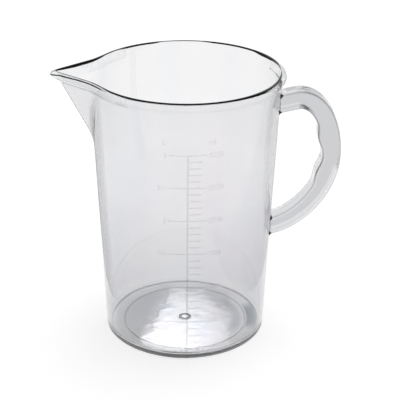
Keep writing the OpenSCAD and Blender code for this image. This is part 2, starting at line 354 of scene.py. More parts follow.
        def from_radius(rows):
            return np.column_stack([rows[:, 0] - self.wall_r(rows[:, 1]), rows[:, 1], rows[:, 1]])

        return np.concatenate([
            from_radius(by_radius),
            follow(outside, outside[:, 1]),
            follow(underside, fade_z + t * (top - fade_z)),
            follow(rim, top),
            follow(neck, top + down * (fade_z - top)),
            follow(inside, inside[:, 1]),
            from_radius(floor),
        ])

    # By the angle from the spout, positive in front: how far in millimetres the crest's painted shade, a
    # dark tone, runs down inside and outside, the share of light that passes the bead's face unbent, how
    # far down in millimetres it does, and the share in which the bead shows as plain wall
    RIM_TONES = np.array([
        (-180, 0.1, 0.05, 0.9, 9.4, 0), (-172, 0.2, 0.1, 0.9, 9.4, 0), (-163, 0.8, 0.2, 0.9, 9.4, 0.3),
        (-159, 1.5, 0.3, 0.9, 9.4, 0.7), (-158, 1.7, 0.3, 0, 9.4, 1), (-148, 2.1, 0.4, 0, 5, 1),
        (-140, 1.0, 0.4, 0, 5, 1), (-110, 1.0, 0.4, 0, 5, 1), (-102, 0.4, 0.3, 0, 5, 1),
        (-76, 0.3, 0.3, 0, 5, 1), (-70, 1.1, 0.4, 0, 5, 1), (-50, 1.1, 0.4, 0, 9.4, 1),
        (-49, 0.9, 0.35, 0.9, 9.4, 1), (-44, 0.35, 0.2, 0.9, 9.4, 1), (-30, 0.35, 0.2, 0.9, 9.4, 1),
        (-24, 1.1, 0.3, 0.9, 9.4, 1), (-16, 1.9, 0.6, 0.9, 9.4, 1), (-8, 2.0, 0.6, 0.9, 9.4, 1),
        (-3, 1.4, 0.2, 0.9, 9.4, 0.5), (0, 0.7, 0.05, 0.9, 9.4, 0), (5, 0.4, 0.1, 0.95, 9.4, 0),
        (32, 0.35, 0.15, 0.95, 9.4, 0), (41, 0.4, 0.4, 0.95, 9.4, 0.3), (46, 0.5, 0.5, 0.6, 9.4, 1),
        (56, 0.6, 0.6, 0, 9.4, 1), (144, 0.6, 0.6, 0, 9.4, 1), (156, 0.5, 0.4, 0.7, 9.4, 0.8),
        (160, 0.4, 0.3, 0.9, 9.4, 0.5), (170, 0.1, 0.1, 0.9, 9.4, 0), (180, 0.1, 0.05, 0.9, 9.4, 0),
    ])
    # By the same angle, how many degrees further round the outer face's clear stretches reach, so that
    # light which passes one face unbent doesn't meet the other one glassy and turn back dark
    CLEAR_PAST = np.array([
        (-180, 0), (-166, 6), (-120, 14), (-100, 0), (-80, 0), (-70, -6), (-40, -3), (0, 0), (180, 0),
    ])
    # Height over which a clear stretch ends
    CLEAR_FADE = 0.9 * MM
    # How much further down the face is clear that light from the front meets second
    CLEAR_STEP = 1.6 * MM
    # Depth below the crest where the bead starts to show as plain wall, and over which it comes to that
    PLAIN_DEPTH = 0.3 * MM
    PLAIN_FADE = 1.2 * MM
    # A second thin dark line of painted shade outside, along the spout and round the handle's side: by
    # the angle, its depth and its half width in millimetres, less than 0 where there is none
    LIP_LINE = np.array([
        (-180, 2.6, 0.4), (-176, 2.6, 0.3), (-171, 2.6, -1), (-50, 0.75, -1), (-44, 0.75, 0.22),
        (-30, 0.75, 0.22), (-24, 0.75, -1), (-9, 2.4, -1), (-5, 2.4, 0.5), (2, 2.4, 0.55), (5, 1.2, 0.45),
        (14, 0.75, 0.38), (30, 0.75, 0.34), (38, 0.75, 0.1), (42, 0.75, -0.3), (150, 2.6, -1),
        (164, 2.6, 0.35), (180, 2.6, 0.4),
    ])
    # By the same angle, for the outer bottom edge: the clear share, and the height of the dark core, a
    # painted shade along that edge
    FOOT_TONES = np.array([
        (-180, 0.95, -1), (-10, 0.95, -1), (0, 0.9, -1), (12, 0.5, -1), (40, 0.4, -1), (60, 0.3, -1),
        (70, 0.25, 0.2), (78, 0.15, 1), (90, 0.15, 1.1), (98, 0.25, 0.4), (106, 0.3, -1), (112, 0.3, -1),
        (140, 0.4, -1), (168, 0.5, -1), (178, 0.9, -1), (180, 0.95, -1),
    ])
    # Height up to which the foot has these tones, the fade at its top, and how far in from the wall
    FOOT_TOP = 5 * MM
    FOOT_FADE = 2.5 * MM
    FOOT_WIDTH = 15 * MM
    # Rounding that still counts as the same point
    HAIR = 0.001 * MM

    def tones(self):
        """Marks for each point, by name, which the plastic's shader reads.

        They are how far a painted dark tone, painted shade, reaches past the point, how much of its face
        is clear, down to which depth below the crest it is so, and, on the bead, the plain wall's normal,
        as long as the share in which the bead shows as plain wall.
        """
        v, section = self.v, self.section()
        degrees = self.angles()
        offset, z = section[:, :1], section[:, 1:2]
        depth, bead_depth = v.height - z, v.bead_h + v.bead_fade
        within = offset < v.bead_edge_r - v.wall_t
        outer_face = np.arange(len(z))[:, None] < len(z) / 2
        foot = outer_face & (offset > -self.FOOT_WIDTH) & (z < self.FOOT_TOP)
        bead = ~within & (depth < bead_depth - self.HAIR)

        def by_angle(table, at=degrees):
            return [np.interp(at, table[:, 0], column) for column in table.T[1:]]

        inside, outside, clear, clear_depth, plain_share = by_angle(self.RIM_TONES)
        line_depth, line_half = by_angle(self.LIP_LINE)
        foot_clear, core = by_angle(self.FOOT_TONES)

        reach = np.where(within, inside, outside) * MM - depth
        line = line_half * MM - np.abs(depth - line_depth * MM)
        reach = np.maximum(reach, np.where(within, -1, line))
        # Painted shade along the outer bottom edge: a dark core up to the table's height
        bottom_edge = foot & (offset > -v.base_round_r - self.HAIR)
        reach = np.where(bottom_edge, core * MM - z, reach)

        further = by_angle(self.RIM_TONES, degrees - by_angle(self.CLEAR_PAST)[0])[2]
        clear = np.where(within, clear, np.maximum(clear, further))
        foot_fade = np.clip((self.FOOT_TOP - z) / self.FOOT_FADE, 0, 1)
        clear = np.where(foot, foot_clear * foot_fade, clear)
        clear = np.where((depth > 2 * bead_depth) & ~foot, 0, clear)
        met_first = (degrees > 0) == (offset > -v.wall_t / 2)
        clear_to = clear_depth * MM + np.where(met_first, 0, self.CLEAR_STEP)
        plain_fade = np.clip((depth - self.PLAIN_DEPTH) / self.PLAIN_FADE, 0, 1)
        weight = np.where(bead, plain_share * plain_fade, 0)
        return {
            "dark_reach": reach,
            "clear_share": clear,
            "clear_to": np.where(z < v.height / 2, v.height, clear_to),
            "plain_normal": weight[..., None] * self.plain_normals(np.argmax(bead[:, 0]) - 1),
        }

    def plain_normals(self, row):
        """Outward unit normals along a row of the wall: the row's run crossed with the way down."""
        points, lower = self.surface()[[row, row - 1]]
        normals = np.cross(points - lower, np.roll(points, -1, 0) - np.roll(points, 1, 0))
        outwards = np.sign((normals * points)[:, :2].sum(1))
        return normals / (np.linalg.norm(normals, axis=1) * outwards)[:, None]

    def surface(self):
        """Grid of points: the section carried round the jug, each row at its own outline."""
        section = self.section()[:, None, :]
        degrees = self.angles()[None, :]
        r = self.outline_r(degrees, section[..., 2], section[..., 0])
        a = np.radians(degrees)
        z = np.broadcast_to(section[..., 1], r.shape)
        return np.stack([-r * np.cos(a), -r * np.sin(a), z], -1)


class BarForm:
    """The bar handle: a rounded rectangle carried along its back.

    The back is a short straight rise, then two cubic curves that meet at the furthest point. The bar is
    cut off at both roots where it meets the wall's cone, grown by the cement's gap.
    """

    # How far the two curves of the back keep the directions of their ends, as shares of the way
    CORNER_SHARES = (0.53, 0.70)
    SWEEP_SHARES = (0.45, 0.555)
    # Where the two swells stand, and half the width of each, as shares of the back's length
    SWELL_SHARES = (0.385, 0.580)
    SWELL_WIDTH_SHARE = 0.09
    # How far the back runs on inside the wall, and the share of it in which a root's end is looked for
    ROOT_DEPTH = 6 * MM
    ROOT_SHARE = 0.25
    # Steps along each cubic curve of the back, and along the straights at the upper and lower root
    CURVE_STEPS = 400
    STRAIGHT_STEPS = (120, 60)
    # Points along each rounded edge and each flat of the section, along the bar, and in on its ends
    EDGE_STEPS = 8
    FLAT_STEPS = 8
    BAR_ROWS = 420
    END_STEPS = 7
    # How often the way is halved to find where the bar meets the wall
    HALVINGS = 40
    # Gap between the cement and the wall, points across its hollow face, how far that face leans out
    # to its two legs, and how deep the cement goes behind its foot, as shares of a leg
    CEMENT_SEAT = 0.02 * MM
    HOLLOW_ROWS = 7
    HOLLOW_SHARE = 0.25
    BURIED_SHARE = 0.3
    # A leg as a share of the full fillet: everywhere, more at the top and bottom, and more in the corners
    FILLET_SHARES = (0.25, 0.45, 2.0)
    # Where a root's top and bottom begin, as a share of half its height, and over which share
    LEVEL_FROM = (0.6, 0.3)
    # Painted shade: how dark the cement is everywhere, and how much more in the corners
    CEMENT_PAINTED_SHADE = (0.3, 0.7)

    def __init__(self, handle, form):
        self.h, self.form = handle, form
        rise = np.array([np.cos(handle.top_rise), np.sin(handle.top_rise)])
        fall = np.array([np.cos(handle.lower_slope), np.sin(handle.lower_slope)])
        upper = np.array([form.wall_r(handle.upper_z), handle.upper_z])
        lower = np.array([form.wall_r(handle.lower_z), handle.lower_z])
        far = np.array([handle.reach, handle.reach_z])
        corner = upper + handle.top_run * rise
        first = self.bezier(
            corner,
            corner + self.CORNER_SHARES[0] * (far[0] - corner[0]) * rise,
            far + [0, self.CORNER_SHARES[1] * (corner[1] - far[1])],
            far,
        )
        second = self.bezier(
            far,
            far - [0, self.SWEEP_SHARES[0] * (far[1] - lower[1])],
            lower + self.SWEEP_SHARES[1] * (far[0] - lower[0]) * fall,
            lower,
        )
        start, end = upper - self.ROOT_DEPTH * rise, lower - self.ROOT_DEPTH * fall
        self.back = np.concatenate([
            run(start, corner, self.STRAIGHT_STEPS[0]),
            first[:-1],
            second[:-1],
            run(lower, end, self.STRAIGHT_STEPS[1]),
            [end],
        ])
        steps = np.diff(self.back, axis=0)
        self.runs = np.concatenate([[0], np.cumsum(np.hypot(steps[:, 0], steps[:, 1]))])
        along = np.gradient(self.back, self.runs, axis=0)
        self.normals = np.stack([-along[:, 1], along[:, 0]], -1)

    @staticmethod
    def bezier(a, b, c, d):
        """A cubic curve from a to d that leaves towards b and comes in from c."""
        t = np.linspace(0, 1, BarForm.CURVE_STEPS + 1)[:, None]
        return (1 - t) ** 3 * a + 3 * (1 - t) ** 2 * t * b + 3 * (1 - t) * t**2 * c + t**3 * d

    def swell(self, along, at, height):
        """A raised cosine of that height, centred at a share of the back's length."""
        x = np.clip((along - at) / self.SWELL_WIDTH_SHARE, -1, 1)
        return height * (1 + np.cos(np.pi * x)) / 2

    def thickness(self, s):
        """The bar's thickness at a distance along the back, with the two swells."""
        along = s / self.runs[-1]
        return (
            self.h.bar_t
            + self.swell(along, self.SWELL_SHARES[0], self.h.upper_swell)
            + self.swell(along, self.SWELL_SHARES[1], self.h.lower_swell)
        )

    def outline(self):
        """The section's outline in three parts: across the bar, share of the thickness, plain depth."""
        w, r = self.h.bar_w / 2, self.h.edge_r
        corner = arc(0, 0, r, 0, 90, self.EDGE_STEPS)
        corners = [
            (w - r, 0, r, corner[:, 0], -corner[:, 1]),
            (r - w, 0, r, -corner[:, 1], -corner[:, 0]),
            (r - w, 1, -r, -corner[:, 0], corner[:, 1]),
            (w - r, 1, -r, corner[:, 1], corner[:, 0]),
        ]
        arcs = [
            np.column_stack([x + dx, np.full(len(dx), far), depth + dz])
            for x, far, depth, dx, dz in corners
        ]
        rows = []
        for here, following in zip(arcs, arcs[1:] + arcs[:1]):
            rows += [here[:-1], run(here[-1], following[0], self.FLAT_STEPS)]
        return np.concatenate(rows)

    def at(self, s, outline):
        """Points of the bar's face: the back's point, less its normal times the depth."""
        across, far, depth = outline.T
        deep = far * self.thickness(s) + depth
        x = np.interp(s, self.runs, self.back[:, 0]) - deep * np.interp(s, self.runs, self.normals[:, 0])
        z = np.interp(s, self.runs, self.back[:, 1]) - deep * np.interp(s, self.runs, self.normals[:, 1])
        return np.stack([x, np.broadcast_to(across, x.shape), z], -1)

    def crossing(self, outline, inside, outside, grow):
        """Distance along the back where each line of the bar crosses the grown cone, by halving."""
        low, high = np.full(len(outline), inside), np.full(len(outline), outside)
        for _ in range(self.HALVINGS):
            middle = (low + high) / 2
            p = self.at(middle, outline)
            buried = np.hypot(p[:, 0], p[:, 1]) < self.form.wall_r(p[:, 2]) + grow
            low, high = np.where(buried, middle, low), np.where(buried, high, middle)
        return (low + high) / 2

    def ends(self, grow):
        """Distances along the back, for each line of the bar, at the upper and the lower root."""
        outline = self.outline()
        reach = self.ROOT_SHARE * self.runs[-1]
        return (
            self.crossing(outline, 0.0, reach, grow),
            self.crossing(outline, self.runs[-1], self.runs[-1] - reach, grow),
        )

    def cap(self, ring, grow, shares):
        """Rows on the grown cone, from a ring drawn in towards its own middle by shares."""
        middle = ring.mean(0)
        drawn = middle + shares[:, None, None] * (ring - middle)
        y, z = drawn[..., 1], drawn[..., 2]
        return np.stack([np.sqrt((self.form.wall_r(z) + grow) ** 2 - y**2), y, z], -1)

    def surface(self):
        """Grid of points from the middle of one root's end, along the bar, to the other's."""
        outline = self.outline()
        first, last = self.ends(self.h.root_gap)
        v = np.linspace(0, 1, self.BAR_ROWS)[:, None]
        body = self.at((1 - v) * first + v * last, outline)
        shares = np.linspace(0, 1, self.END_STEPS, endpoint=False)
        return np.concatenate([
            self.cap(body[0], self.h.root_gap, shares),
            body,
            self.cap(body[-1], self.h.root_gap, shares[::-1]),
        ])

    # By the share of the bar's length: how dark the thin lines of painted shade along its long edges are,
    # at the outer front, the inner front and the inner back edge, and how clear the finger side and the
    # back are
    EDGE_TONES = np.array([
        (0, 0.1, 0.1, 0.05, 0.8, 0), (0.1, 0.2, 0.2, 0.1, 0.8, 0), (0.13, 0.45, 0.4, 0.3, 0.4, 0),
        (0.16, 0.5, 0.8, 0.6, 0.1, 0), (0.22, 0.4, 0.45, 0.3, 0, 0), (0.38, 0.25, 0.6, 0.4, 0, 0),
        (0.46, 0.15, 0.35, 0.2, 0, 0), (0.5, 0.15, 0.45, 0.3, 0.5, 0), (0.54, 0.2, 0.6, 0.3, 0.6, 0),
        (0.56, 0.3, 0.7, 0.3, 0.6, 0.9), (0.6, 0.35, 0.75, 0.3, 0.7, 0.9),
        (0.68, 0.35, 0.3, 0.2, 0.75, 0.9), (0.75, 0.3, 0.25, 0.2, 0.8, 0.9),
        (0.85, 0.3, 0.2, 0.15, 0.8, 0.9), (1, 0.3, 0.2, 0.1, 0.8, 0.9),
    ])
    # How dark the painted shade is at each point across a rounded edge
    EDGE_PROFILE = (0, 0.1, 0.4, 0.9, 1, 0.9, 0.4, 0.1)

    def tones(self):
        """Marks for each point, by name: the painted dark lines of shade along the edges, and the clear
        faces.
        """
        shape = self.surface().shape[:2]
        along, (at, *rows) = np.linspace(0, 1, shape[0]), self.EDGE_TONES.T
        outer, inner, far, clear, back = (np.interp(along, at, row)[:, None] for row in rows)
        dark, share = np.zeros(shape), np.zeros(shape)
        step, edge = self.EDGE_STEPS + self.FLAT_STEPS, self.EDGE_STEPS
        for place, tone in ((1, outer), (2, inner), (3, far)):
            dark[:, place * step : place * step + edge] = tone * self.EDGE_PROFILE
        share[:, 2 * step : 3 * step + edge + 1] = clear
        share[:, : step + edge + 1] = back
        return {"dark_reach": dark * PAINTED_SHADE_EDGE, "clear_share": share}

    def cement(self, upper):
        """Closed ring of cement round a root: a concave fillet between the wall and the bar.

        Its two legs run along the wall and along the bar, and grow towards the root's top and bottom
        edges and corners.
        """
        outline, seat = self.outline(), self.CEMENT_SEAT
        s = self.ends(seat)[0 if upper else 1]
        foot = self.at(s, outline)
        leg = self.h.fillet * self.fillet_share(foot)
        out = self.at(s + (leg if upper else -leg), outline)
        away = foot - foot.mean(0)
        away[:, 0] = 0
        away /= np.linalg.norm(away, axis=1)[:, None]
        toe = foot + leg[:, None] * away
        toe[:, 0] = np.sqrt((self.form.wall_r(toe[:, 2]) + seat) ** 2 - toe[:, 1] ** 2)
        t = np.linspace(0, 1, self.HOLLOW_ROWS)[:, None, None]
        bend = foot + self.HOLLOW_SHARE * (out + toe - 2 * foot)
        hollow = (1 - t) ** 2 * out + 2 * t * (1 - t) * bend + t**2 * toe
        buried = foot - self.BURIED_SHARE * (out - foot)
        return np.concatenate([hollow, buried[None]])

    def corners(self, foot):
        """From 0 on a root's upright edges to 1 at its corners, and the same at its top and bottom."""
        z = foot[:, 2]
        height = np.abs(z - z.mean()) / np.ptp(z) * 2
        across = np.abs(foot[:, 1]) / np.abs(foot[:, 1]).max()
        start, fade = self.LEVEL_FROM
        level = np.clip((height - start) / fade, 0, 1)
        return level * across**3, level

    def fillet_share(self, foot):
        """Share of the full fillet round a root: small on the upright edges, full at the corners."""
        corner, level = self.corners(foot)
        least, more_level, more_corner = self.FILLET_SHARES
        return least + more_level * level + more_corner * corner

    def cement_tones(self, upper):
        """Marks for each point: painted shade, dark at the corners, where the cement is thick, and else
        faint.
        """
        grid = self.cement(upper)
        least, more = self.CEMENT_PAINTED_SHADE
        shade = least + more * np.sqrt(self.corners(grid[-1])[0])
        return {"dark_reach": np.broadcast_to(shade, grid.shape[:2])}


def from_axis(points):
    """Carries points round the jug's own axis to where that axis stands in the frame."""
    return points + [AXIS_X, 0, 0]


def surface_mesh(name, grid, poles):
    """A closed mesh from a grid whose columns run round.

    With poles, the first and last row are each one point. Without them, the rows run round as well.
    The volume's sign shows whether the faces point outwards, and they are turned if not.
    """
    cols = grid.shape[1]
    body = grid[1:-1] if poles else grid
    points = body.reshape(-1, 3)
    n = len(body)
    down = np.arange(n - 1 if poles else n)[:, None]
    j = np.arange(cols)[None, :]
    here, beside = down * cols + j, down * cols + (j + 1) % cols
    below = (down + 1) % n * cols
    quads = np.stack([here, beside, below + (j + 1) % cols, below + j], -1).reshape(-1, 4)
    faces = quads.tolist()
    if poles:
        first, last = len(points), len(points) + 1
        points = np.concatenate([points, grid[0, :1], grid[-1, :1]])
        k = j.ravel()
        edge = (n - 1) * cols
        faces += np.stack([np.full(cols, first), (k + 1) % cols, k], -1).tolist()
        faces += np.stack([np.full(cols, last), edge + k, edge + (k + 1) % cols], -1).tolist()
    points = from_axis(points)
    corners = points[quads]
    volume = np.einsum("ij,ij->", corners[:, 0], np.cross(corners[:, 1], corners[:, 2]))
    volume += np.einsum("ij,ij->", corners[:, 0], np.cross(corners[:, 2], corners[:, 3]))
    if volume < 0:
        faces = [face[::-1] for face in faces]
    mesh = bpy.data.meshes.new(name)
    mesh.from_pydata(points, [], faces)
    mesh.update()
    return mesh


def mark(mesh, tones, poles):
    """Writes grids of marks, by name, onto the points of a mesh that was made from such a grid."""
    for name, grid in tones.items():
        kind, key = ("FLOAT", "value") if grid.ndim == 2 else ("FLOAT_VECTOR", "vector")
        values = grid.ravel()
        if poles:
            values = np.concatenate([grid[1:-1].ravel(), grid[0, :1].ravel(), grid[-1, :1].ravel()])
        mesh.attributes.new(name, kind, "POINT").data.foreach_set(key, values)


# Angle between two faces from which their edge stays sharp, in degrees
SHARP_FROM = 35


def add_piece(name, mesh, material, slot_name, replaced=()):
    """Puts a finished mesh into the scene as a smooth piece that rides on the jug."""
    mesh.shade_smooth()
    mesh.set_sharp_from_angle(angle=np.radians(SHARP_FROM))
    mesh.materials.append(material)
    piece = bpy.data.objects.new(name, mesh)
    bpy.context.scene.collection.objects.link(piece)
    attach(piece, "root")
    if replaced:
        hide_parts(*replaced)
    return piece


def add_surface(name, grid, tones, material, slot_name, replaced, poles=True):
    """Makes a piece from a grid of points and its grids of marks."""
    mesh = surface_mesh(name, grid, poles)
    mark(mesh, tones, poles)
    return add_piece(name, mesh, material, slot_name, replaced)


class Wire:
    """A node's output, so that shader maths reads as Python expressions."""

    def __init__(self, shader, socket):
        self.shader, self.socket = shader, socket

    def maths(self, operation, first, second):
        return self.shader.wire("ShaderNodeMath", 0, {"operation": operation}, {0: first, 1: second})

    def __add__(self, other):
        return self.maths("ADD", self, other)

    __radd__ = __add__

    def __sub__(self, other):
        return self.maths("SUBTRACT", self, other)

    def __rsub__(self, other):
        return self.maths("SUBTRACT", other, self)

    def __mul__(self, other):
        return self.maths("MULTIPLY", self, other)

    __rmul__ = __mul__

    def __truediv__(self, other):
        return self.maths("DIVIDE", self, other)

    def max(self, other):
        return self.maths("MAXIMUM", self, other)

    def min(self, other):
        return self.maths("MINIMUM", self, other)

    def clamp(self):
        return self.max(0.0).min(1.0)

    def above(self, start, fade):
        """0 up to a start, and 1 from a fade past it."""
        return ((self - start) / fade).clamp()

    def below(self, end, fade):
        """1 up to a fade before an end, and 0 past it."""
        return ((end - self) / fade).clamp()

    def between(self, low, high, fade):
        """1 between two values, with soft edges, and 0 outside them."""
        return self.above(low, fade) * self.below(high, fade)


class Shader:
    """A material's or world's nodes, all made by one method."""

    def __init__(self, tree):
        self.tree = tree
        tree.nodes.clear()

    def feed(self, socket, value):
        """Gives a socket a wire or a value."""
        if isinstance(value, Wire):
            self.tree.links.new(value.socket, socket)
        else:
            socket.default_value = value

    def node(self, kind, settings=None, values=None):
        """Makes a node of a kind, with its settings first and then its sockets' values or links."""
        made = self.tree.nodes.new(kind)
        for key, value in (settings or {}).items():
            setattr(made, key, value)
        for key, value in (values or {}).items():
            self.feed(made.inputs[key], value)
        return made

    def wire(self, kind, output, settings=None, values=None):
        """Makes a node and gives one of its outputs as a wire."""
        return Wire(self, self.node(kind, settings, values).outputs[output])

    def noise(self, place, scale, detail, stretch=(1, 1, 1)):
        """Noise from 0 to 1 on a place, at a scale per metre, stretched by a factor on each axis."""
        turned = self.wire("ShaderNodeMapping", "Vector", {}, {"Vector": place, "Scale": stretch})
        values = {"Vector": turned, "Scale": scale, "Detail": detail}
        return self.wire("ShaderNodeTexNoise", "Fac", {}, values)

    def attribute(self, name, output="Fac"):
        """A mark of the mesh, by its name."""
        return self.wire("ShaderNodeAttribute", output, {"attribute_name": name})

    def axis(self, vector, key):
        """A vector's part along X, Y or Z."""
        return self.wire("ShaderNodeSeparateXYZ", key, {}, {"Vector": vector})

    def vector(self, operation, *values, output="Vector"):
        """Vector maths on its values."""
        settings = {"operation": operation}
        return self.wire("ShaderNodeVectorMath", output, settings, dict(enumerate(values)))

    def bump(self, height, strength, depth, **normal):
        """A normal that follows a pattern's height, at a strength and with the pattern's depth."""
        values = {"Height": height, "Strength": strength, "Distance": depth, **normal}
        return self.wire("ShaderNodeBump", "Normal", {}, values)

    def blend(self, factor, first, second, kind="MIX"):
        """Mixes two colours by a factor."""
        settings = {"data_type": "RGBA", "blend_type": kind}
        made = self.node("ShaderNodeMix", settings, {"Factor": factor})
        for socket, value in zip([s for s in made.inputs if s.type == "RGBA"], (first, second)):
            self.feed(socket, value if isinstance(value, Wire) else (*value, 1))
        return Wire(self, next(s for s in made.outputs if s.type == "RGBA"))

    def product(self, first, second):
        """Multiplies two colours."""
        return self.blend(1.0, first, second, "MULTIPLY")

    def finish(self, values):
        """A finish from the values or links of its sockets."""
        return self.wire("ShaderNodeBsdfPrincipled", "BSDF", {}, values)

    def unbent(self, colour=(1, 1, 1)):
        """A face that light passes unbent, in a colour."""
        return self.wire("ShaderNodeBsdfTransparent", "BSDF", {}, {"Color": (*colour, 1)})

    def glow(self, colour, strength):
        """A face that gives off light."""
        return self.wire("ShaderNodeEmission", "Emission", {}, {"Color": colour, "Strength": strength})

    def mix(self, factor, first, second):
        """Mixes two finishes by a factor."""
        return self.wire("ShaderNodeMixShader", "Shader", {}, {0: factor, 1: first, 2: second})

    def surface(self, wire, kind="ShaderNodeOutputMaterial"):
        """Ends the tree in its output."""
        self.node(kind, {}, {"Surface": wire})


def new_material(name):
    """An empty node material and the object coordinates in it."""
    material = bpy.data.materials.new(name)
    material.use_nodes = True
    shader = Shader(material.node_tree)
    return material, shader, shader.wire("ShaderNodeTexCoord", "Object")


# Patterns of noise: scale per metre, detail, and the stretch on each axis
STREAKS = (16, 2, (1, 1, 0.35))
DRIFTS = (24, 2, (1, 1, 0.2))
WAVES = (45, 1, (1, 1, 0.3))
BASE_PATCHES = (28, 3)
BASE_WAVES = (110, 2)
BASE_WAVE_SHARE = 2
CEMENT_RIPPLE = (900, 2)
SCALE_GRAIN = (700, 3)
# Where a tone sets in on its pattern, and over how much of the pattern it comes in
WARM_ON_STREAKS = (0.4, 0.5)
COOL_ON_DRIFTS = (0.5, 0.25)
TONE_ON_PATCHES = (0.45, 0.25)
# Where the wall's tint leaves the low one and where it turns to the top one, both painted shade, and
# the fade, as shares of the height
LEAVES_LOW = (0.34, 0.26)
TAKES_TOP = (0.62, 0.19)
# Heights under which a face is the floor's or the foot's, the floor's underside or the foot's flat, and
# their fades
BASE_UNDER = (3.5 * MM, 1 * MM)
UNDERSIDE_UNDER = (1.6 * MM, 0.2 * MM)
FLAT_UNDER = (0.5 * MM, 0.3 * MM)
# Rings round the axis, from one distance to another past the recess's radius, and their soft edge: the
# foot's painted lighter tone, its painted shade, the painted shade beside it in the floor, and the
# painted dark line of the recess's edge
FOOT_RING = (0.6 * MM, 14.1 * MM, 0.5 * MM)
FOOT_SHADE = (1.1 * MM, 12.1 * MM, 1 * MM)
FLOOR_SHADE = (-13.9 * MM, -1.4 * MM, 5 * MM)
RECESS_LINE = (-0.8 * MM, 0.3 * MM, 0.2 * MM)
# The same past the gate's radius: its near-black ring, and the part of it that shows through the plastic,
# drawn in the black finish
GATE_RING = (-3.4 * MM, 0.4 * MM, 0.6 * MM)
GATE_DARK = (-2.6 * MM, 0.2 * MM, 0.8 * MM)
GATE_COVER = 0.6
# Cosines from the handle's side at which the two painted shades set in, their fades, and the second's
# strength
FOOT_SHADE_SIDE = (0.92, 0.0625)
FLOOR_SHADE_SIDE = (0.72, 0.2)
FLOOR_SHADE_STRENGTH = 0.45


def clear_plastic(name, colours, tint, vessel=None):
    """Clear moulded plastic: faint streaks down the flow, a slight haze and a soft waviness.

    It is a little deeper in tone where it is seen at a slant. The mesh's marks say where a face lets
    light pass unbent, and where it has painted shade: a dark tone that stands in for light that enters
    there and is lost down the wall. A vessel's wall has painted shade by height, darker low down and a
    little darker high up, and its floor and foot have tones of their own: random patches, rings of
    painted light and shade, and a near-black ring at the gate.
    """
    material, shader, place = new_material(name)
    roughness, normal = colours.clear_roughness, {}
    streaks, waves = shader.noise(place, *STREAKS), shader.noise(place, *WAVES)
    slant = shader.wire("ShaderNodeLayerWeight", "Facing", {}, {"Blend": 0.5})
    # Painted shade, read from the marks
    dark = (shader.attribute("dark_reach") / PAINTED_SHADE_EDGE).clamp()
    clear = shader.attribute("clear_share")
    if vessel:
        up, height = shader.axis(place, "Z"), vessel.height
        leaves, takes = ([part * height for part in tint_run] for tint_run in (LEAVES_LOW, TAKES_TOP))
        tint = shader.blend(up.above(*leaves), colours.shaded_low_plastic, tint)
        tint = shader.blend(up.above(*takes), tint, colours.shaded_top_plastic)
    warm, cool = streaks.above(*WARM_ON_STREAKS), shader.noise(place, *DRIFTS).above(*COOL_ON_DRIFTS)
    tone = shader.blend(warm, tint, shader.product(tint, colours.clear_warm))
    tone = shader.blend(cool, tone, shader.product(tone, colours.clear_cool))
    tone = shader.blend(slant * slant, tone, colours.clear_edge)
    if vessel:
        low, rings, gate_dark = base_places(shader, place, up, vessel, colours)
        patches = shader.noise(place, *BASE_PATCHES).above(*TONE_ON_PATCHES)
        tone = shader.blend(low * patches, tone, colours.base)
        # Rings of painted light and shade on the base, and the gate's near-black ring
        for cover, ring in rings:
            tone = shader.blend(cover, tone, ring)
        waves = waves + low * shader.noise(place, *BASE_WAVES) * BASE_WAVE_SHARE
        roughness = roughness + up.below(*FLAT_UNDER) * colours.foot_roughness
        normal = {"Normal": plain_normal(shader)}
        left = shader.attribute("clear_to") - (height - up)
        clear = clear * (left / VesselForm.CLEAR_FADE).clamp()
        dark = dark.max(gate_dark)
    plastic = shader.finish({
        "Base Color": tone,
        "Roughness": roughness + 0.02 * streaks,
        "Normal": shader.bump(waves, 0.15, 0.2 * MM, **normal),
        "IOR": 1.58,
        "Transmission Weight": 1.0,
    })
    steep = slant * slant * slant
    plastic = shader.mix(clear * (1 - steep * steep), plastic, shader.unbent(colours.unbent))
    # The painted-shade finish: black, drawn where the marks reach
    crest = {"Base Color": (*colours.crest, 1), "Roughness": 0.3, "Specular IOR Level": 0.15}
    shader.surface(shader.mix(dark, plastic, shader.finish(crest)))
    return material


def base_places(shader, place, up, vessel, colours):
    """Covers of a vessel's base, of each ring of tone in it (painted light, painted shade and the gate's
    near-black ring), with the ring's colour, and of the gate.
    """
    centred = {"Vector": place, "Location": (-AXIS_X, 0, 0), "Scale": (1, 1, 0)}
    flat = shader.wire("ShaderNodeMapping", "Vector", {}, centred)
    r = shader.vector("LENGTH", flat, output="Value")
    side = shader.axis(flat, "X") / r
    from_recess, from_gate = r - vessel.recess_d / 2, r - vessel.gate_d / 2
    low, under = up.below(*BASE_UNDER), up.below(*UNDERSIDE_UNDER)
    foot_shade = side.above(*FOOT_SHADE_SIDE) * from_recess.between(*FOOT_SHADE)
    floor_shade = side.above(*FLOOR_SHADE_SIDE) * from_recess.between(*FLOOR_SHADE)
    rings = (
        (low * from_recess.between(*FOOT_RING), colours.foot),
        (low * foot_shade, colours.ring),
        (FLOOR_SHADE_STRENGTH * low * floor_shade, colours.ring),
        (under * from_recess.between(*RECESS_LINE), colours.recess_shade_line),
        (under * from_gate.between(*GATE_RING), colours.gate),
    )
    return low, rings, GATE_COVER * low * from_gate.between(*GATE_DARK)


def plain_normal(shader):
    """The face's normal, turned towards the plain wall's by the share that the mark's length tells."""
    plain, face = shader.attribute("plain_normal", "Vector"), shader.node("ShaderNodeNewGeometry")
    share = shader.vector("LENGTH", plain, output="Value")
    side = 1 - 2 * Wire(shader, face.outputs["Backfacing"])
    turned = shader.vector("MULTIPLY", plain, side)
    mixed = shader.vector("MULTIPLY_ADD", Wire(shader, face.outputs["Normal"]), 1 - share, turned)
    return shader.vector("NORMALIZE", mixed)


